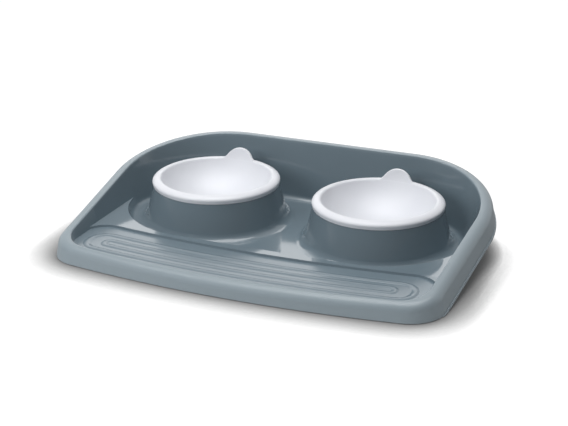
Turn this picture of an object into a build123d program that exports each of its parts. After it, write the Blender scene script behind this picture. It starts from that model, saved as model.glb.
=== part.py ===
"""Double pet bowl: a moulded tray with two hollow pedestals, two lift-out bowls and four rubber feet.

Millimetres, +Z up. The origin lies on the ground under the middle of the tray's outline, with the
tray's high wall at +Y and its low front at -Y. Each piece is written to parts/ as its own STEP file.
"""

import os
from math import atan, cos, radians, sin, sqrt, tan

from build123d import *

os.makedirs("parts", exist_ok=True)

# Tray: overall sizes, and the rim that slopes down from the back to the front
tray_width = 397.0
tray_depth = 271.2
rim_height_back = 65.8
rim_height_front = 14.4
rim_width = 11.5
front_rim_width = 8.0
rim_outer_radius = 9.0
rim_inner_radius = 1.5
skirt_drop = 22.0
skirt_flare = 11.0
skirt_ground_gap = 0.8
lip_reach = 0.9
lip_height = 1.8
wall = 2.6
wall_draft = 16.0
front_bow_radius = 1200.0
back_corner_radius = 106.0
front_corner_radius = 32.0
cavity_front_radius = 25.0

# Tray: the basin around the pedestals, and the ribbed trough in front of it
basin_depth = 10.6
basin_end_radius = 90.0
basin_end_spacing = 178.0
basin_setback = 100.5
basin_draft = 18.0
basin_foot_radius = 5.5
cavity_foot_radius = 6.0
tub_edge_radius = 3.6
trough_length = 62.3
trough_depth = 2.2
trough_corner_radius = 25.0
rib_back_inset = 17.5
rib_front_inset = 10.3
rib_end_inset = 13.6
rib_pitch = 11.5
rib_end_pitch = 18.0
rib_count = 2
rib_width = 7.0
rib_height = 0.8
rib_end_round_share = 0.9

# Pedestals, which stand in the basin and carry the bowls
bowl_spacing = 174.4
bowl_setback = 102.0
pedestal_shoulder_height = 40.2
pedestal_spread = 8.7
pedestal_flare_radius = 9.0
seat_lip_height = 3.6
seat_lip_width = 2.6

# Bowls
bowl_rim_radius = 65.0
bowl_rim_thickness = 4.3
bowl_crest_round = 3.0
bowl_depth = 32.7
bowl_flat_radius = 8.0
bowl_wall = 2.6
bowl_skirt_wall = 2.2
bowl_skirt_taper = 0.7
bowl_ring_radius = 30.0
bowl_ring_width = 2.6
bowl_ring_height = 0.8
tab_height = 10.3
tab_dome_radius = 16.5
tab_corner_radius = 10.0
tab_base_width = 48.0
tab_thickness = 3.0
tab_set_back = 0.05
tab_edge_round = 1.0

# Rubber feet, set in shallow recesses under the tray
foot_diameter = 9.0
foot_thickness = 2.4
foot_recess = 0.6
foot_edge = 0.5
foot_margin = 0.9
foot_ring_angle = 54.0
front_foot_inset = 28.0
boss_wall = 2.4

# Clearances of a bowl's skirt and of its wall to the seat lip, and the overrun of cutting shapes
bowl_clearance = 0.3
seat_gap = 1.9
overrun = 5.0

# Slopes and levels worked out from the sizes above
draft_slope = tan(radians(wall_draft))
flare_slope = tan(radians(skirt_flare))
wall_across = wall / cos(radians(wall_draft))
rim_slope = (rim_height_back - rim_height_front) / tray_depth
rim_tilt = atan(rim_slope)
rim_middle_height = (rim_height_back + rim_height_front) / 2
rim_wall_drop = wall / cos(rim_tilt)
half_depth = tray_depth / 2
block_top = rim_height_back + overrun
underside = foot_thickness - foot_recess
basin_floor = underside + wall
land_height = basin_floor + basin_depth
trough_floor = land_height - trough_depth
bowl_y = half_depth - bowl_setback
basin_y = half_depth - basin_setback


def rim_height(y):
    """Height of the rim's top plane at a place along the tray."""
    return rim_middle_height + rim_slope * y


def rim_plane(drop):
    """The rim's sloping plane, lowered by a vertical drop."""
    normal = (0, -sin(rim_tilt), cos(rim_tilt))
    return Plane(origin=(0, 0, rim_middle_height - drop), x_dir=(1, 0, 0), z_dir=normal)


# The skirt's outline narrows towards the front as fast as the drafted walls do under the sloping rim
plan_taper = draft_slope * rim_slope
corner_y = half_depth - back_corner_radius
side_x = tray_width / 2 + back_corner_radius * (sqrt(1 + plan_taper**2) - 1)

# The cavity's walls at land height, found from the rim's inner edge
inner_back = half_depth - rim_width
inner_front = front_rim_width - half_depth
back_spread = (rim_height(inner_back) - land_height) * draft_slope
side_spread = (rim_height(corner_y) - land_height) * draft_slope
front_spread = (rim_height(inner_front) - land_height) * draft_slope
land_back = inner_back - back_spread
land_front = inner_front + front_spread
land_half_width = tray_width / 2 - rim_width - side_spread
land_back_radius = back_corner_radius - rim_width - side_spread
trough_back = land_front + trough_length

# Pedestal and bowl sizes that follow from each other
skirt_foot_radius = bowl_rim_radius - bowl_skirt_taper
skirt_bore_radius = skirt_foot_radius - bowl_skirt_wall
seat_outer_radius = skirt_bore_radius - bowl_clearance
seat_inner_radius = seat_outer_radius - seat_lip_width
seat_height = pedestal_shoulder_height + seat_lip_height
pedestal_top_radius = skirt_foot_radius
pedestal_foot_radius = pedestal_top_radius + pedestal_spread
pedestal_slope = pedestal_spread / (pedestal_shoulder_height - basin_floor)
pedestal_wall_across = wall * sqrt(1 + pedestal_slope**2)
flare_reach = pedestal_flare_radius * tan((radians(90) - atan(pedestal_slope)) / 2)
flare_end_radius = pedestal_foot_radius + flare_reach
flare_top = basin_floor + flare_reach * cos(atan(pedestal_slope))
flare_top_radius = pedestal_foot_radius - flare_reach * sin(atan(pedestal_slope))
bowl_top = seat_height + bowl_rim_thickness
bowl_floor = bowl_top - bowl_depth
bowl_base = bowl_floor - bowl_wall

# Seen in section, the bowl's dish and its outer face are arcs about one centre, over the floor's edge
shell_seat_radius = seat_inner_radius - seat_gap
shell_reach = shell_seat_radius - bowl_flat_radius
shell_drop = bowl_depth - bowl_rim_thickness
dish_radius = (shell_reach**2 + shell_drop**2 - bowl_wall**2) / (2 * (shell_drop + bowl_wall))
shell_radius = dish_radius + bowl_wall
dish_centre = bowl_floor + dish_radius
bowl_mouth_radius = bowl_flat_radius + sqrt(dish_radius**2 - (dish_radius - bowl_depth) ** 2)


def pedestal_bore_radius(height):
    """Radius of the pedestal's inner face at a height."""
    outer = pedestal_top_radius + pedestal_slope * (pedestal_shoulder_height - height)
    return outer - pedestal_wall_across


def dish_point(arc_radius, radius):
    """Profile point, as radius and height, on an arc about the dish's centre."""
    return (radius, dish_centre - sqrt(arc_radius**2 - (radius - bowl_flat_radius) ** 2))


def bow_y(front, radius, x):
    """Place along the tray of a bowed edge, a distance x from the middle."""
    return front + radius - sqrt(radius**2 - x**2)


def skirt_block(inset, bottom):
    """Solid of the flared skirt's outline, upwards from a level and moved inwards from the bead's edge."""
    front_flare = flare_slope * (skirt_drop + skirt_ground_gap - bottom)
    corner_flare = flare_slope * (rim_height(corner_y) - bottom)
    back_flare = flare_slope * (rim_height(half_depth) - bottom)
    front = inset - lip_reach - half_depth - front_flare
    back = half_depth + back_flare - inset
    corner = bow_y(front, front_bow_radius - inset, side_x)
    ground_taper = plan_taper + flare_slope * rim_slope
    front_side = side_x + ground_taper * (corner - corner_y) + corner_flare - inset
    back_side = side_x + ground_taper * (back - corner_y) + corner_flare - inset
    with BuildPart() as block:
        with BuildSketch(Plane.XY.offset(bottom)) as outline:
            with BuildLine():
                ThreePointArc((-front_side, corner), (0, front), (front_side, corner))
                Polyline((front_side, corner), (back_side, back), (-back_side, back), (-front_side, corner))
            make_face()
            fillet(outline.vertices().sort_by(Axis.Y)[2:], back_corner_radius + corner_flare - inset)
            fillet(outline.vertices().sort_by(Axis.Y)[:2], front_corner_radius + front_flare - inset)
        extrude(amount=block_top, taper=skirt_flare)
    return block.part


def cavity_sketch(level, grow):
    """Face of the drafted cavity's outline at a level, moved outwards by a margin."""
    spread = (level - land_height) * draft_slope + grow
    side = land_half_width + spread
    back = land_back + spread
    front = land_front - spread
    corner = bow_y(front, front_bow_radius + spread, side)
    with BuildSketch(Plane.XY.offset(level)) as outline:
        with BuildLine():
            ThreePointArc((-side, corner), (0, front), (side, corner))
            Polyline((side, corner), (side, back), (-side, back), (-side, corner))
        make_face()
        fillet(outline.vertices().sort_by(Axis.Y)[2:], land_back_radius + spread)
        fillet(outline.vertices().sort_by(Axis.Y)[:2], cavity_front_radius + spread)
    return outline.sketch


def bowed_sketch(front, back, side, front_round, back_round):
    """Face on the trough's floor between two bowed edges, with its corners rounded."""
    front_corner = bow_y(front, front_bow_radius, side)
    back_corner = bow_y(back, front_bow_radius, side)
    with BuildSketch(Plane.XY.offset(trough_floor)) as outline:
        with BuildLine():
            ThreePointArc((-side, front_corner), (0, front), (side, front_corner))
            Line((side, front_corner), (side, back_corner))
            ThreePointArc((side, back_corner), (0, back), (-side, back_corner))
            Line((-side, back_corner), (-side, front_corner))
        make_face()
        fillet(outline.vertices().sort_by(Axis.Y)[2:], back_round)
        fillet(outline.vertices().sort_by(Axis.Y)[:2], front_round)
    return outline.sketch


def drafted_block(bottom, top, grow, edge_radius):
    """Solid of the drafted cavity between two levels, with its bottom edge rounded."""
    with BuildPart() as block:
        add(cavity_sketch(bottom, grow))
        extrude(amount=top - bottom, taper=-wall_draft)
        if edge_radius > 0:
            fillet(block.faces().sort_by(Axis.Z)[0].edges(), edge_radius)
    return block.part


def basin_block(grow, bottom, edge_radius):
    """Solid of the basin from land height down to a level, grown by a margin and open past the back."""
    end_radius = basin_end_radius + grow
    end_x = basin_end_spacing / 2
    side = end_x + end_radius
    open_back = half_depth + overrun
    with BuildPart() as block:
        with BuildSketch(Plane.XY.offset(land_height)):
            with BuildLine():
                CenterArc((-end_x, basin_y), end_radius, 180, 90)
                Line((-end_x, basin_y - end_radius), (end_x, basin_y - end_radius))
                CenterArc((end_x, basin_y), end_radius, 270, 90)
                Polyline((side, basin_y), (side, open_back), (-side, open_back), (-side, basin_y))
            make_face()
        extrude(amount=bottom - land_height, taper=basin_draft)
        if edge_radius > 0:
            fillet(block.faces().sort_by(Axis.Z)[0].edges(), edge_radius)
    return block.part


def bowl_plane(x):
    """Upright plane through a bowl's axis, for profiles given as radius and height."""
    return Plane(origin=(x, bowl_y, 0), x_dir=(1, 0, 0), z_dir=(0, -1, 0))


def bowl_axis(x):
    """Upright axis of a bowl and its pedestal."""
    return Axis((x, bowl_y, 0), (0, 0, 1))


def pedestal_solid(x):
    """Outer form of a pedestal, filled in, with its flared foot and its seat lip."""
    with BuildPart() as pedestal:
        with BuildSketch(bowl_plane(x)):
            with BuildLine():
                TangentArc((flare_end_radius, basin_floor), (flare_top_radius, flare_top), tangent=(-1, 0))
                Polyline(
                    (flare_top_radius, flare_top),
                    (pedestal_top_radius, pedestal_shoulder_height),
                    (seat_outer_radius, pedestal_shoulder_height),
                    (seat_outer_radius, seat_height),
                    (0, seat_height),
                    (0, underside),
                    (flare_end_radius, underside),
                    (flare_end_radius, basin_floor),
                )
            make_face()
        revolve(axis=bowl_axis(x))
    return pedestal.part


def pedestal_bore(x):
    """Space inside a pedestal, from below the tray up through the seat."""
    ceiling = pedestal_shoulder_height - wall
    mouth = underside - overrun
    with BuildPart() as bore:
        with BuildSketch(bowl_plane(x)):
            with BuildLine():
                Polyline(
                    (0, mouth),
                    (pedestal_bore_radius(mouth), mouth),
                    (pedestal_bore_radius(ceiling), ceiling),
                    (seat_inner_radius, ceiling),
                    (seat_inner_radius, seat_height + overrun),
                    (0, seat_height + overrun),
                    close=True,
                )
            make_face()
        revolve(axis=bowl_axis(x))
    return bore.part


def rib_solid(index):
    """One low rounded rib: a loop on the trough's floor, inside the loops before it."""
    back = trough_back - rib_back_inset - index * rib_pitch
    front = land_front + rib_front_inset + index * rib_pitch
    side = land_half_width - rib_end_inset - index * rib_end_pitch
    end_round = rib_end_round_share * (back - front) / 2
    crest = bowed_sketch(front, back, side, end_round, end_round).face().outer_wire()
    along = crest % 0
    across = Vector(0, 0, 1).cross(along)
    half_width = rib_width / 2
    root = -wall / 2
    with BuildPart() as rib:
        with BuildSketch(Plane(origin=crest @ 0, x_dir=across, z_dir=along)):
            with BuildLine():
                ThreePointArc((-half_width, 0), (0, rib_height), (half_width, 0))
                Polyline((half_width, 0), (half_width, root), (-half_width, root), (-half_width, 0))
            make_face()
        sweep(path=crest)
    return rib.part


def tab_solid(x):
    """Finger tab at the back of a bowl's rim: a bell-shaped piece that carries the dish's wall on upwards."""
    tip = bowl_top + tab_height
    root = bowl_top - bowl_crest_round / 2
    inner_radius = dish_radius + tab_set_back
    with BuildPart() as tab:
        with BuildSketch(bowl_plane(x)):
            with Locations((bowl_flat_radius, dish_centre)):
                Circle(inner_radius + tab_thickness)
                Circle(inner_radius, mode=Mode.SUBTRACT)
            with Locations((0, seat_height)):
                Rectangle(bowl_rim_radius, tip - seat_height, align=(Align.MIN, Align.MIN), mode=Mode.INTERSECT)
        revolve(axis=bowl_axis(x))
        with BuildSketch(bowl_plane(x)) as bell:
            with Locations((0, tip - tab_dome_radius)):
                Circle(tab_dome_radius)
            with Locations((0, seat_height)):
                Rectangle(tab_base_width, root - seat_height, align=(Align.CENTER, Align.MIN))
            fillet(bell.vertices().group_by(Axis.Y)[-1].sort_by(Axis.X)[1:-1], tab_corner_radius)
        extrude(amount=-bowl_rim_radius, mode=Mode.INTERSECT)
        bell_edges = tab.edges().filter_by_position(Axis.Z, root, tip, inclusive=(False, True))
        fillet(bell_edges, tab_edge_round)
    return tab.part


# Drafted tub, its cavity above the basin floor, and the raised land in front of the basin
tub = drafted_block(underside, block_top, wall_across, tub_edge_radius)
cavity = drafted_block(basin_floor, block_top + overrun, 0, cavity_foot_radius)

with BuildPart() as land_hollow:
    add(drafted_block(underside - overrun, trough_floor - wall, 0, 0))
    add(basin_block(wall, underside - overrun, 0), mode=Mode.SUBTRACT)

with BuildPart() as land:
    add(drafted_block(underside + wall / 2, land_height, wall_across / 2, 0))
    add(basin_block(0, basin_floor, basin_foot_radius), mode=Mode.SUBTRACT)
    front = land_front - wall_across
    side = land_half_width + wall_across
    add(bowed_sketch(front, trough_back, side, cavity_front_radius, trough_corner_radius))
    extrude(amount=trough_depth, taper=-wall_draft, mode=Mode.SUBTRACT)

# Rim: a rolled-over edge whose skirt hangs outside the wall, with a bead along its bottom
with BuildPart() as rim_hollow:
    add(skirt_block(lip_reach + wall, -overrun))
    split(bisect_by=rim_plane(rim_wall_drop), keep=Keep.BOTTOM)
    fillet(rim_hollow.faces().sort_by(Axis.Z)[-1].edges(), rim_outer_radius - wall)
    add(tub, mode=Mode.SUBTRACT)

with BuildPart() as bead:
    add(skirt_block(0, skirt_ground_gap))
    split(bisect_by=rim_plane(skirt_drop - lip_height), keep=Keep.BOTTOM)
    split(bisect_by=rim_plane(skirt_drop), keep=Keep.TOP)

with BuildPart() as rim:
    add(skirt_block(lip_reach, skirt_ground_gap))
    split(bisect_by=rim_plane(0), keep=Keep.BOTTOM)
    fillet(rim.faces().sort_by(Axis.Z)[-1].edges(), rim_outer_radius)
    split(bisect_by=rim_plane(skirt_drop), keep=Keep.TOP)
    add(bead.part)
    add(rim_hollow.part, mode=Mode.SUBTRACT)

# Places of the bowls and of the feet
bowl_x = bowl_spacing / 2
bowl_sides = {"left": -bowl_x, "right": bowl_x}
foot_ring_radius = pedestal_bore_radius(underside) + foot_margin + foot_diameter / 2
back_foot_x = bowl_x - foot_ring_radius * cos(radians(foot_ring_angle))
back_foot_y = bowl_y + foot_ring_radius * sin(radians(foot_ring_angle))
front_foot_x = land_half_width - front_foot_inset
front_foot_y = land_front + front_foot_inset
front_foot_places = {"front_left": (-front_foot_x, front_foot_y), "front_right": (front_foot_x, front_foot_y)}
back_foot_places = {"back_left": (-back_foot_x, back_foot_y), "back_right": (back_foot_x, back_foot_y)}
foot_places = front_foot_places | back_foot_places

# Tray: the walls and the floor in one moulding, with everything that stands on them
with BuildPart() as tray:
    add(tub)
    split(bisect_by=rim_plane(rim_wall_drop), keep=Keep.BOTTOM)
    add(rim.part)
    add(cavity, mode=Mode.SUBTRACT)
    upright = rim_plane(0).z_dir
    sloping = tray.faces().filter_by(lambda face: face.normal_at().dot(upright) > cos(rim_tilt / 2))
    fillet(sloping.sort_by(Axis.Z)[-1].inner_wires()[0].edges(), rim_inner_radius)
    add(land.part)
    add(land_hollow.part, mode=Mode.SUBTRACT)
    with BuildSketch(Plane.XY.offset(underside)):
        with Locations(*front_foot_places.values()):
            Circle(foot_diameter / 2 + boss_wall)
    extrude(amount=trough_floor - underside - wall / 2)
    for rib_index in range(rib_count):
        add(rib_solid(rib_index))
    for x in bowl_sides.values():
        add(pedestal_solid(x).intersect(tub))
        add(pedestal_bore(x), mode=Mode.SUBTRACT)
    with BuildSketch(Plane.XY.offset(underside)):
        with Locations(*foot_places.values()):
            Circle(foot_diameter / 2)
    extrude(amount=foot_recess, mode=Mode.SUBTRACT)
tray.part.label = "tray"
export_step(tray.part, "parts/tray.step")

# Bowls: turned shells that hang by their rims on the pedestals' seat lips
for side, x in bowl_sides.items():
    skirt_foot = pedestal_shoulder_height + bowl_clearance
    ring_foot = bowl_base - bowl_ring_height
    ring_inner_radius = bowl_ring_radius - bowl_ring_width
    shell_seat = dish_point(shell_radius, shell_seat_radius)
    shell_flank = dish_point(shell_radius, (shell_seat_radius + bowl_ring_radius) / 2)
    ring_outside = dish_point(shell_radius, bowl_ring_radius)
    ring_inside = dish_point(shell_radius, ring_inner_radius)
    shell_belly = dish_point(shell_radius, (ring_inner_radius + bowl_flat_radius) / 2)
    dish_flank = dish_point(dish_radius, (bowl_flat_radius + bowl_mouth_radius) / 2)
    crest = (bowl_mouth_radius, bowl_top)
    with BuildPart() as bowl:
        with BuildSketch(bowl_plane(x)) as profile:
            with BuildLine():
                Line((0, bowl_floor), (bowl_flat_radius, bowl_floor))
                ThreePointArc((bowl_flat_radius, bowl_floor), dish_flank, crest)
                EllipticalCenterArc(
                    (bowl_mouth_radius, seat_height),
                    bowl_rim_radius - bowl_mouth_radius,
                    bowl_rim_thickness,
                    start_angle=0,
                    arc_size=90,
                )
                Polyline(
                    (bowl_rim_radius, seat_height),
                    (skirt_foot_radius, skirt_foot),
                    (skirt_bore_radius, skirt_foot),
                    (skirt_bore_radius, seat_height),
                    shell_seat,
                )
                ThreePointArc(shell_seat, shell_flank, ring_outside)
                Polyline(
                    ring_outside,
                    (bowl_ring_radius, ring_foot),
                    (ring_inner_radius, ring_foot),
                    ring_inside,
                )
                ThreePointArc(ring_inside, shell_belly, (bowl_flat_radius, bowl_base))
                Polyline((bowl_flat_radius, bowl_base), (0, bowl_base), (0, bowl_floor))
            make_face()
            fillet(profile.vertices().sort_by_distance(crest)[0], bowl_crest_round)
        revolve(axis=bowl_axis(x))
        add(tab_solid(x))
    bowl.part.label = f"bowl_{side}"
    export_step(bowl.part, f"parts/bowl_{side}.step")

# Feet: round rubber pads, seated in the recesses and standing on the ground
for corner, (x, y) in foot_places.items():
    with BuildPart() as foot:
        with BuildSketch():
            with Locations((x, y)):
                Circle(foot_diameter / 2)
        extrude(amount=foot_thickness)
        fillet(foot.faces().sort_by(Axis.Z)[0].edges(), foot_edge)
    foot.part.label = f"foot_{corner}"
    export_step(foot.part, f"parts/foot_{corner}.step")
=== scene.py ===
"""Looks of the double pet bowl: its finishes, the studio round it and the photograph's camera.

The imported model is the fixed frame, in metres, with the tray's high wall at +Y and its low front at -Y.
The tray, the bowls and the feet keep their own meshes, and get moulded plastic and rubber here.
"""

import logging
import math
from dataclasses import dataclass
from enum import Enum
from typing import Any

import bmesh
import bpy
from mathutils import Matrix, Vector


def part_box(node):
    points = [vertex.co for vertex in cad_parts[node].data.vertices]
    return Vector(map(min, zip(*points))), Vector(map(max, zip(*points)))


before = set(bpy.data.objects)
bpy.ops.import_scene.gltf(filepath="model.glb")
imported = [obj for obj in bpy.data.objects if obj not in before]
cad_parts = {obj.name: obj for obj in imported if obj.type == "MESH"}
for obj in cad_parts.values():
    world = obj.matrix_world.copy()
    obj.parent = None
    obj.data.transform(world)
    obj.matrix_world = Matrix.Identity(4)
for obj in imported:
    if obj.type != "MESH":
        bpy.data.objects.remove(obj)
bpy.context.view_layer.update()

IMAGE_WIDTH = 568
SENSOR_WIDTH = 36.0

# The screen's curve between display colours and light
SCREEN_WHITE = 255
CURVE_KNEE = 0.04045
CURVE_SLOPE = 12.92
CURVE_OFFSET = 0.055
CURVE_POWER = 2.4

# Numbers of the Mix node's sockets for colours, whose names repeat
MIX_FACTOR = 0
MIX_LOW = 6
MIX_HIGH = 7
MIX_RESULT = 2

Colour = tuple[float, float, float]
Paint = tuple[float, float, float, float]
Place = tuple[float, float, float]
Span = tuple[float, float]

WHITE: Paint = (1.0, 1.0, 1.0, 1.0)

log = logging.getLogger("double_pet_bowl")


class Side(Enum):
    """The two bowls, as seen from the front."""

    LEFT = "left"
    RIGHT = "right"


class Corner(Enum):
    """The four corners with a rubber foot."""

    FRONT_LEFT = "front_left"
    FRONT_RIGHT = "front_right"
    BACK_LEFT = "back_left"
    BACK_RIGHT = "back_right"


class SeenBy(Enum):
    """Kinds of light path that look at the floor and the sky."""

    CAMERA = "Is Camera Ray"
    GLOSS = "Is Glossy Ray"
    GLASS = "Is Transmission Ray"


def linear(channel: float) -> float:
    """One channel of a display colour as light.

    Args:
        channel: the channel from 0 to 255, as a screen shows it.

    Returns:
        Its share of full light, from 0 to 1.
    """
    share = channel / SCREEN_WHITE
    if share <= CURVE_KNEE:
        return share / CURVE_SLOPE
    return ((share + CURVE_OFFSET) / (1 + CURVE_OFFSET)) ** CURVE_POWER


def paint(colour: Colour) -> Paint:
    """A display colour from 0 to 255 as an opaque colour for a shader."""
    red, green, blue = colour
    return linear(red), linear(green), linear(blue), 1.0


@dataclass(frozen=True)
class Grain:
    """Cloudy noise in a finish: the size of its clouds in metres, and how many finer layers it has."""

    size: float
    detail: float


@dataclass(frozen=True)
class Relief:
    """Fine unevenness of a surface: its grain, its height in metres, and the share of it that is used."""

    grain: Grain
    height: float
    strength: float


class Signal:
    """One output socket of a shader, with arithmetic that adds Math nodes to its graph."""

    def __init__(self, graph: "Graph", socket: bpy.types.NodeSocket) -> None:
        """Keeps the graph and the socket."""
        self.graph = graph
        self.socket = socket

    def __add__(self, other: "Signal | float") -> "Signal":
        """self + other."""
        return self.graph.math("ADD", self, other)

    def __radd__(self, other: float) -> "Signal":
        """other + self."""
        return self.graph.math("ADD", other, self)

    def __sub__(self, other: "Signal | float") -> "Signal":
        """self - other."""
        return self.graph.math("SUBTRACT", self, other)

    def __rsub__(self, other: float) -> "Signal":
        """other - self."""
        return self.graph.math("SUBTRACT", other, self)

    def __mul__(self, other: "Signal | float") -> "Signal":
        """self * other."""
        return self.graph.math("MULTIPLY", self, other)

    def __rmul__(self, other: float) -> "Signal":
        """other * self."""
        return self.graph.math("MULTIPLY", other, self)

    def __truediv__(self, other: "Signal | float") -> "Signal":
        """self / other."""
        return self.graph.math("DIVIDE", self, other)

    def __abs__(self) -> "Signal":
        """Size of self, without its sign."""
        return self.graph.math("ABSOLUTE", self)

    def above(self, other: "Signal | float") -> "Signal":
        """The larger of self and other."""
        return self.graph.math("MAXIMUM", self, other)

    def below(self, other: "Signal | float") -> "Signal":
        """The smaller of self and other."""
        return self.graph.math("MINIMUM", self, other)

    def root(self) -> "Signal":
        """Square root of self."""
        return self.graph.math("SQRT", self)

    def power(self, exponent: float) -> "Signal":
        """Self to a power."""
        return self.graph.math("POWER", self, exponent)

    def ramp(self, start: float, end: float) -> "Signal":
        """A smooth rise of self from 0 at start to 1 at end.

        Args:
            start: value of self where the rise begins.
            end: value of self where it ends.

        Returns:
            The rise, from 0 to 1.
        """
        settings = {"interpolation_type": "SMOOTHSTEP"}
        inputs = {"Value": self, "From Min": start, "From Max": end}
        return self.graph.signal("ShaderNodeMapRange", "Result", settings, inputs)


class Graph:
    """A node tree that is built by calls."""

    def __init__(self, tree: bpy.types.NodeTree) -> None:
        """Starts from an empty tree."""
        self.tree = tree
        tree.nodes.clear()

    def node(self, kind: str, settings: dict[str, Any], inputs: dict[str | int, Any]) -> bpy.types.Node:
        """Adds one node.

        Args:
            kind: the node's type.
            settings: its own properties, which are set first.
            inputs: a value, or a Signal to link, for each named or numbered socket.

        Returns:
            The node.
        """
        made = self.tree.nodes.new(kind)
        for name, value in settings.items():
            setattr(made, name, value)
        for name, value in inputs.items():
            if isinstance(value, Signal):
                self.tree.links.new(value.socket, made.inputs[name])
            else:
                made.inputs[name].default_value = value
        return made

    def signal(
        self, kind: str, output: str | int, settings: dict[str, Any], inputs: dict[str | int, Any]
    ) -> Signal:
        """Adds one node and wraps one of its outputs.

        Args:
            kind: the node's type.
            output: name or number of the output socket.
            settings: its own properties.
            inputs: a value or a Signal for each named socket.

        Returns:
            The output as a Signal.
        """
        return Signal(self, self.node(kind, settings, inputs).outputs[output])

    def math(self, operation: str, *values: "Signal | float") -> Signal:
        """A Math node on one or two values."""
        return self.signal("ShaderNodeMath", "Value", {"operation": operation}, dict(enumerate(values)))

    def blend(self, factor: Signal, low: Signal | Paint, high: Signal | Paint) -> Signal:
        """A colour that goes from low to high as the factor goes from 0 to 1."""
        inputs = {MIX_FACTOR: factor, MIX_LOW: low, MIX_HIGH: high}
        return self.signal("ShaderNodeMix", MIX_RESULT, {"data_type": "RGBA"}, inputs)

    def mix_shader(self, factor: Signal, low: Signal, high: Signal) -> Signal:
        """A shader that goes from low to high as the factor goes from 0 to 1."""
        return self.signal("ShaderNodeMixShader", "Shader", {}, {"Fac": factor, 1: low, 2: high})

    def place(self) -> Signal:
        """The point on the surface, in the object's own metres."""
        return self.signal("ShaderNodeTexCoord", "Object", {}, {})

    def noise(self, place: Signal, grain: Grain) -> Signal:
        """Cloudy noise from 0 to 1, read at a place."""
        inputs = {"Vector": place, "Scale": 1 / grain.size, "Detail": grain.detail}
        return self.signal("ShaderNodeTexNoise", "Fac", {}, inputs)

    def bump(self, height: Signal, relief: Relief, under: Signal | None = None) -> Signal:
        """A normal that follows a height.

        Args:
            height: the height, as a share of the relief's own.
            relief: the unevenness, with its real height.
            under: the normal to start from, or None for the surface's own.

        Returns:
            The normal as a Signal.
        """
        inputs = {"Height": height, "Distance": relief.height, "Strength": relief.strength}
        if under is not None:
            inputs["Normal"] = under
        return self.signal("ShaderNodeBump", "Normal", {}, inputs)

    def openness(self, reach: float, samples: int) -> Signal:
        """How open a point is to what lies above it, within a reach in metres, from 0 to 1."""
        return self.signal("ShaderNodeAmbientOcclusion", "AO", {"samples": samples}, {"Distance": reach})

    def seen_by(self, path: SeenBy) -> Signal:
        """1 on one kind of light path, and 0 on the others."""
        return self.signal("ShaderNodeLightPath", path.value, {}, {})

    def seen(self) -> Signal:
        """1 on every kind of light path that looks at the floor and the sky, and 0 on the others."""
        camera, gloss, glass = (self.seen_by(path) for path in SeenBy)
        return camera.above(gloss).above(glass)


def new_material(name: str) -> tuple[bpy.types.Material, Graph]:
    """Makes an empty node material.

    Args:
        name: the material's name.

    Returns:
        The material, and the graph of its nodes.
    """
    material = bpy.data.materials.new(name)
    material.use_nodes = True
    return material, Graph(material.node_tree)


def put_surface(graph: Graph, inputs: dict[str | int, Any]) -> None:
    """Adds the Principled shader with these inputs, and the material's output."""
    shader = graph.signal("ShaderNodeBsdfPrincipled", "BSDF", {}, inputs)
    graph.node("ShaderNodeOutputMaterial", {}, {"Surface": shader})


@dataclass(frozen=True)
class TrayPlan:
    """The tray seen from above, for telling its rolled rim and its trough from its basin.

    Lengths are in metres. The inside draws in towards the front, and the front edges are bowed. The
    trough's finish runs up to trough_top, which is a height.
    """

    half_width: float
    half_depth: float
    rim_width: float = 0.0158
    front_rim_width: float = 0.0122
    back_corner_radius: float = 0.0945
    front_corner_radius: float = 0.0255
    bow_radius: float = 1.2
    side_taper: float = 0.054
    edge_softness: float = 0.0012
    front_softness: float = 0.005
    trough_back: float = -0.065
    trough_top: float = 0.0145

    def masks(self, graph: Graph, place: Signal) -> tuple[Signal, Signal]:
        """Tells the tray's regions apart.

        Args:
            graph: the material's graph.
            place: the point on the surface.

        Returns:
            A mask of the rolled rim and its skirt, and one of the trough with its front edge.
        """
        axes = graph.node("ShaderNodeSeparateXYZ", {}, {"Vector": place})
        x, y, z = (Signal(graph, axes.outputs[name]) for name in ("X", "Y", "Z"))
        bow = x * x / (2 * self.bow_radius)
        at_back = y.ramp(-self.edge_softness, self.edge_softness)
        at_front = 1 - at_back
        radius = self.front_corner_radius + at_back * (self.back_corner_radius - self.front_corner_radius)
        inner_back = self.half_depth - self.rim_width
        inner_depth = inner_back + at_front * (self.rim_width - self.front_rim_width)
        widest_y = inner_back - self.back_corner_radius
        side = self.half_width - self.rim_width + (y - widest_y).below(0.0) * self.side_taper
        over_x = abs(x) - side + radius
        over_y = abs(y) - inner_depth + bow * at_front + radius
        out_x = over_x.above(0.0)
        out_y = over_y.above(0.0)
        past_edge = (out_x * out_x + out_y * out_y).root() + over_x.above(over_y).below(0.0) - radius
        before_step = 1 - (y - bow).ramp(self.trough_back - self.edge_softness, self.trough_back)
        softness = self.edge_softness + before_step * (self.front_softness - self.edge_softness)
        rim = (past_edge / softness).ramp(-1.0, 1.0)
        low_down = 1 - z.ramp(self.trough_top, self.trough_top + self.edge_softness)
        return rim, before_step * low_down


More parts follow.
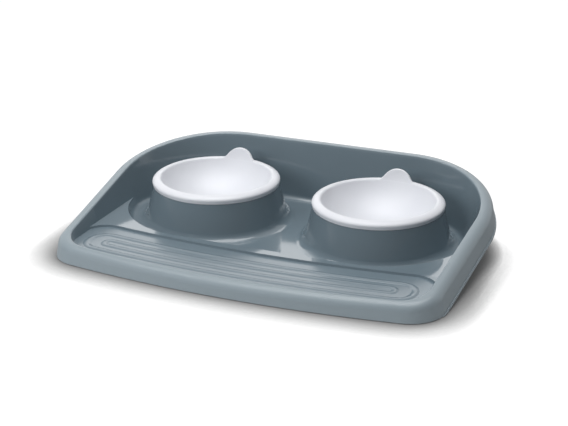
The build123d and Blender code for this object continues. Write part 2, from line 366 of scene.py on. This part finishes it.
@dataclass(frozen=True)
class TrayPlastic:
    """Slate grey moulded plastic: polished inside the tray, satin on its rolled rim, whose paler colour is
    painted light.
    """

    name: str = "slate_moulded_plastic"
    deep: Colour = (104, 119, 128)
    pale: Colour = (112, 127, 136)
    # Painted light: the rim is the same plastic as the inside, painted paler so that it looks more brightly
    # lit.
    rim: Colour = (136, 148, 155)
    gloss_roughness: float = 0.075
    trough_roughness: float = 0.19
    satin_roughness: float = 0.34
    polish: float = 0.3
    polish_roughness: float = 0.04
    smudge_roughness: float = 0.05
    refraction: float = 1.5
    clouds: Grain = Grain(size=0.07, detail=3.0)
    pigment: Grain = Grain(size=0.0011, detail=1.0)
    pigment_share: float = 0.12
    smudges: Grain = Grain(size=0.03, detail=4.0)
    peel: Relief = Relief(Grain(size=0.006, detail=2.0), height=0.00003, strength=0.6)
    satin: Relief = Relief(Grain(size=0.0005, detail=1.0), height=0.00002, strength=0.5)

    def material(self, plan: TrayPlan) -> bpy.types.Material:
        """Makes the material.

        Args:
            plan: the tray seen from above, which says where its rim and its trough are.

        Returns:
            The material.
        """
        material, graph = new_material(self.name)
        place = graph.place()
        rim, trough = plan.masks(graph, place)
        clouds = graph.noise(place, self.clouds)
        pigment = graph.noise(place, self.pigment)
        shade = clouds * (1 - self.pigment_share) + pigment * self.pigment_share
        inside = graph.blend(shade, paint(self.deep), paint(self.pale))
        # Painted light: the rim mask gives the rim its paler colour.
        colour = graph.blend(rim, inside, paint(self.rim))
        smudges = graph.noise(place, self.smudges)
        gloss = self.gloss_roughness + smudges * self.smudge_roughness
        inside_roughness = gloss + trough * (self.trough_roughness - self.gloss_roughness)
        roughness = inside_roughness + rim * (self.satin_roughness - inside_roughness)
        peel = graph.bump(graph.noise(place, self.peel.grain), self.peel)
        normal = graph.bump(graph.noise(place, self.satin.grain) * rim, self.satin, peel)
        inputs = {
            "Base Color": colour,
            "Roughness": roughness,
            "Normal": normal,
            "IOR": self.refraction,
            "Coat Weight": (1 - rim) * (1 - trough) * self.polish,
            "Coat Roughness": self.polish_roughness,
        }
        put_surface(graph, inputs)
        return material


@dataclass(frozen=True)
class BowlPlastic:
    """White satin plastic, with a faint cool cast."""

    name: str = "white_moulded_plastic"
    deep: Colour = (217, 219, 225)
    pale: Colour = (224, 226, 231)
    roughness: float = 0.34
    smudge_roughness: float = 0.08
    refraction: float = 1.5
    clouds: Grain = Grain(size=0.04, detail=3.0)
    smudges: Grain = Grain(size=0.02, detail=4.0)
    peel: Relief = Relief(Grain(size=0.004, detail=2.0), height=0.00003, strength=0.5)

    def material(self) -> bpy.types.Material:
        """Makes the material.

        Returns:
            The material.
        """
        material, graph = new_material(self.name)
        place = graph.place()
        inputs = {
            "Base Color": graph.blend(graph.noise(place, self.clouds), paint(self.deep), paint(self.pale)),
            "Roughness": self.roughness + graph.noise(place, self.smudges) * self.smudge_roughness,
            "Normal": graph.bump(graph.noise(place, self.peel.grain), self.peel),
            "IOR": self.refraction,
        }
        put_surface(graph, inputs)
        return material


@dataclass(frozen=True)
class FootRubber:
    """Dark grey rubber with a fine, dull grain."""

    name: str = "grey_rubber"
    deep: Colour = (46, 48, 50)
    pale: Colour = (62, 64, 66)
    roughness: float = 0.72
    skin: Relief = Relief(Grain(size=0.0006, detail=3.0), height=0.00004, strength=0.8)

    def material(self) -> bpy.types.Material:
        """Makes the material.

        Returns:
            The material.
        """
        material, graph = new_material(self.name)
        grain = graph.noise(graph.place(), self.skin.grain)
        inputs = {
            "Base Color": graph.blend(grain, paint(self.deep), paint(self.pale)),
            "Roughness": self.roughness,
            "Normal": graph.bump(grain, self.skin),
        }
        put_surface(graph, inputs)
        return material


def dress(node: str, material: bpy.types.Material) -> None:
    """Gives a CAD node a material.

    Args:
        node: the node's name.
        material: its finish.
    """
    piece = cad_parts[node]
    piece.data.materials.clear()
    piece.data.materials.append(material)
    log.info("%s wears %s", node, material.name)


@dataclass
class Tray:
    """The moulded tray with its pedestals."""

    finish: TrayPlastic = TrayPlastic()
    node: str = "tray"

    def build(self) -> None:
        """Dresses the tray."""
        low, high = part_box(self.node)
        plan = TrayPlan(half_width=(high.x - low.x) / 2, half_depth=(high.y - low.y) / 2)
        dress(self.node, self.finish.material(plan))


@dataclass
class BowlPair:
    """The two white bowls that lift out of the tray."""

    finish: BowlPlastic = BowlPlastic()

    def build(self) -> None:
        """Dresses both bowls."""
        material = self.finish.material()
        for side in Side:
            dress(f"bowl_{side.value}", material)


@dataclass
class FootSet:
    """The four rubber feet under the tray."""

    finish: FootRubber = FootRubber()

    def build(self) -> None:
        """Dresses the feet."""
        material = self.finish.material()
        for corner in Corner:
            dress(f"foot_{corner.value}", material)


@dataclass(frozen=True)
class SoftBox:
    """A soft studio lamp that hangs at a place and faces the object."""

    name: str
    place: Place
    width: float
    length: float
    watts: float
    mirrored: bool = True
    aim: Place = (0.0, 0.0, 0.03)

    def build(self) -> None:
        """Adds the lamp."""
        data = bpy.data.lights.new(self.name, "AREA")
        data.shape = "RECTANGLE"
        data.size = self.width
        data.size_y = self.length
        data.energy = self.watts
        lamp = bpy.data.objects.new(self.name, data)
        lamp.location = self.place
        ray = Vector(self.aim) - Vector(self.place)
        lamp.rotation_euler = ray.to_track_quat("-Z", "Y").to_euler()
        lamp.visible_glossy = self.mirrored
        bpy.context.scene.collection.objects.link(lamp)


@dataclass
class Studio:
    """A white floor, a bright sky to reflect and the lamps. Lengths are in metres.

    The halo is a painted shadow: a soft dark edge painted into the floor's glow round the object. The
    sky's spans are parts of its direction along Y and Z, where its reflection rises from the dim room to
    white.
    """

    floor_radius: float = 4.0
    floor_segments: int = 64
    floor_colour: float = 0.9
    floor_glow: float = 1.2
    floor_mirrored: float = 0.2
    glow_share: float = 0.75
    # The four halo numbers below set a painted shadow on the floor round the object.
    painted_shadow_reach: float = 0.035
    painted_shadow_power: float = 9.0
    painted_shadow_depth: float = 0.95
    painted_shadow_samples: int = 16
    white: float = 1.0
    room: float = 0.15
    behind_span: Span = (0.0, 0.5)
    overhead_span: Span = (0.6, 0.85)
    lamps: tuple[SoftBox, ...] = (
        SoftBox("ceiling_softbox", (0.0, 0.0, 1.5), width=1.2, length=1.2, watts=18.0),
        SoftBox("key_softbox", (-0.62, -0.25, 0.95), width=0.3, length=0.3, watts=1.1),
        SoftBox("low_softbox", (-0.8, -0.7, 0.35), width=0.5, length=0.5, watts=2.2, mirrored=False),
        SoftBox("front_softbox", (-0.45, -1.1, 0.7), width=0.5, length=0.5, watts=4.9, mirrored=False),
        SoftBox("fill_softbox", (0.75, -0.45, 1.1), width=0.5, length=0.5, watts=1.6, mirrored=False),
        SoftBox("back_softbox", (-0.6, 1.3, 0.8), width=1.2, length=0.8, watts=3.0),
    )

    def build(self) -> None:
        """Adds the floor, the sky and the lamps."""
        self.build_floor()
        self.build_sky()
        for lamp in self.lamps:
            lamp.build()

    def build_floor(self) -> None:
        """Adds the floor: it shows the object's shadow and a painted shadow round it, is white elsewhere,
        and is clear from below.
        """
        mesh = bpy.data.meshes.new("floor")
        shape = bmesh.new()
        disc = {"segments": self.floor_segments, "radius": self.floor_radius}
        bmesh.ops.create_circle(shape, cap_ends=True, **disc)
        shape.to_mesh(mesh)
        shape.free()
        floor = bpy.data.objects.new("floor", mesh)
        bpy.context.scene.collection.objects.link(floor)
        mesh.materials.append(self.floor_material())

    def floor_material(self) -> bpy.types.Material:
        """Makes the floor's material: matt, with a glow for what looks at it, and clear from below.

        The glow is darkened round the object, which paints a shadow there.

        Returns:
            The material.
        """
        material, graph = new_material("white_floor")
        grey = (self.floor_colour, self.floor_colour, self.floor_colour, 1.0)
        matt = graph.signal("ShaderNodeBsdfDiffuse", "BSDF", {}, {"Color": grey})
        # Painted shadow: the floor's glow is darkened where the object is near.
        shade = 1 - graph.openness(self.painted_shadow_reach, self.painted_shadow_samples).power(self.painted_shadow_power)
        looked_at = self.floor_glow - shade * (self.floor_glow * self.painted_shadow_depth)
        strength = looked_at + graph.seen_by(SeenBy.GLOSS) * (self.floor_mirrored - looked_at)
        glow = graph.signal("ShaderNodeEmission", "Emission", {}, {"Strength": strength})
        white = graph.mix_shader(graph.seen() * self.glow_share, matt, glow)
        below = graph.signal("ShaderNodeNewGeometry", "Backfacing", {}, {})
        clear = graph.signal("ShaderNodeBsdfTransparent", "BSDF", {}, {})
        graph.node("ShaderNodeOutputMaterial", {}, {"Surface": graph.mix_shader(below, white, clear)})
        return material

    def build_sky(self) -> None:
        """Adds the sky: white to look at, and in reflections white behind and overhead and dim in front."""
        world = bpy.data.worlds.new("soft_sky")
        world.use_nodes = True
        bpy.context.scene.world = world
        graph = Graph(world.node_tree)
        toward = graph.signal("ShaderNodeTexCoord", "Generated", {}, {})
        axes = graph.node("ShaderNodeSeparateXYZ", {}, {"Vector": toward})
        behind = Signal(graph, axes.outputs["Y"]).ramp(*self.behind_span)
        overhead = Signal(graph, axes.outputs["Z"]).ramp(*self.overhead_span)
        reflected = self.room + behind.above(overhead) * (self.white - self.room)
        gloss = graph.seen_by(SeenBy.GLOSS)
        plain = graph.seen_by(SeenBy.CAMERA).above(graph.seen_by(SeenBy.GLASS))
        strength = (plain * self.white).above(gloss * reflected)
        inputs = {"Color": WHITE, "Strength": strength}
        sky = graph.signal("ShaderNodeBackground", "Background", {}, inputs)
        graph.node("ShaderNodeOutputWorld", {}, {"Surface": sky})


@dataclass
class PhotoCamera:
    """The camera at the photograph's angle. Angles are in degrees, lengths in metres."""

    azimuth: float = 23.03
    elevation: float = 21.45
    roll: float = -0.22
    aim: Place = (-0.01533, 0.0401, 0.015)
    distance: float = 1.36525
    focal_pixels: float = 1349.51

    def build(self) -> None:
        """Adds the camera and makes it the scene's own."""
        data = bpy.data.cameras.new("photo_camera")
        data.sensor_width = SENSOR_WIDTH
        data.lens = self.focal_pixels * SENSOR_WIDTH / IMAGE_WIDTH
        turn = math.radians(self.azimuth)
        rise = math.radians(self.elevation)
        back = Vector((math.sin(turn) * math.cos(rise), -math.cos(turn) * math.cos(rise), math.sin(rise)))
        camera = bpy.data.objects.new("photo_camera", data)
        pose = (-back).to_track_quat("-Z", "Y").to_matrix().to_4x4()
        place = Matrix.Translation(Vector(self.aim) + back * self.distance)
        camera.matrix_world = place @ pose @ Matrix.Rotation(math.radians(self.roll), 4, "Z")
        bpy.context.scene.collection.objects.link(camera)
        bpy.context.scene.camera = camera


def main() -> None:
    """Builds the sub-assemblies, the studio and the camera in order."""
    logging.basicConfig(level=logging.INFO, format="%(message)s")
    bpy.context.scene.view_settings.view_transform = "Standard"
    for part in (Tray(), BowlPair(), FootSet(), Studio(), PhotoCamera()):
        part.build()
        log.info("%s built", type(part).__name__)


if __name__ == "__main__":
    main()
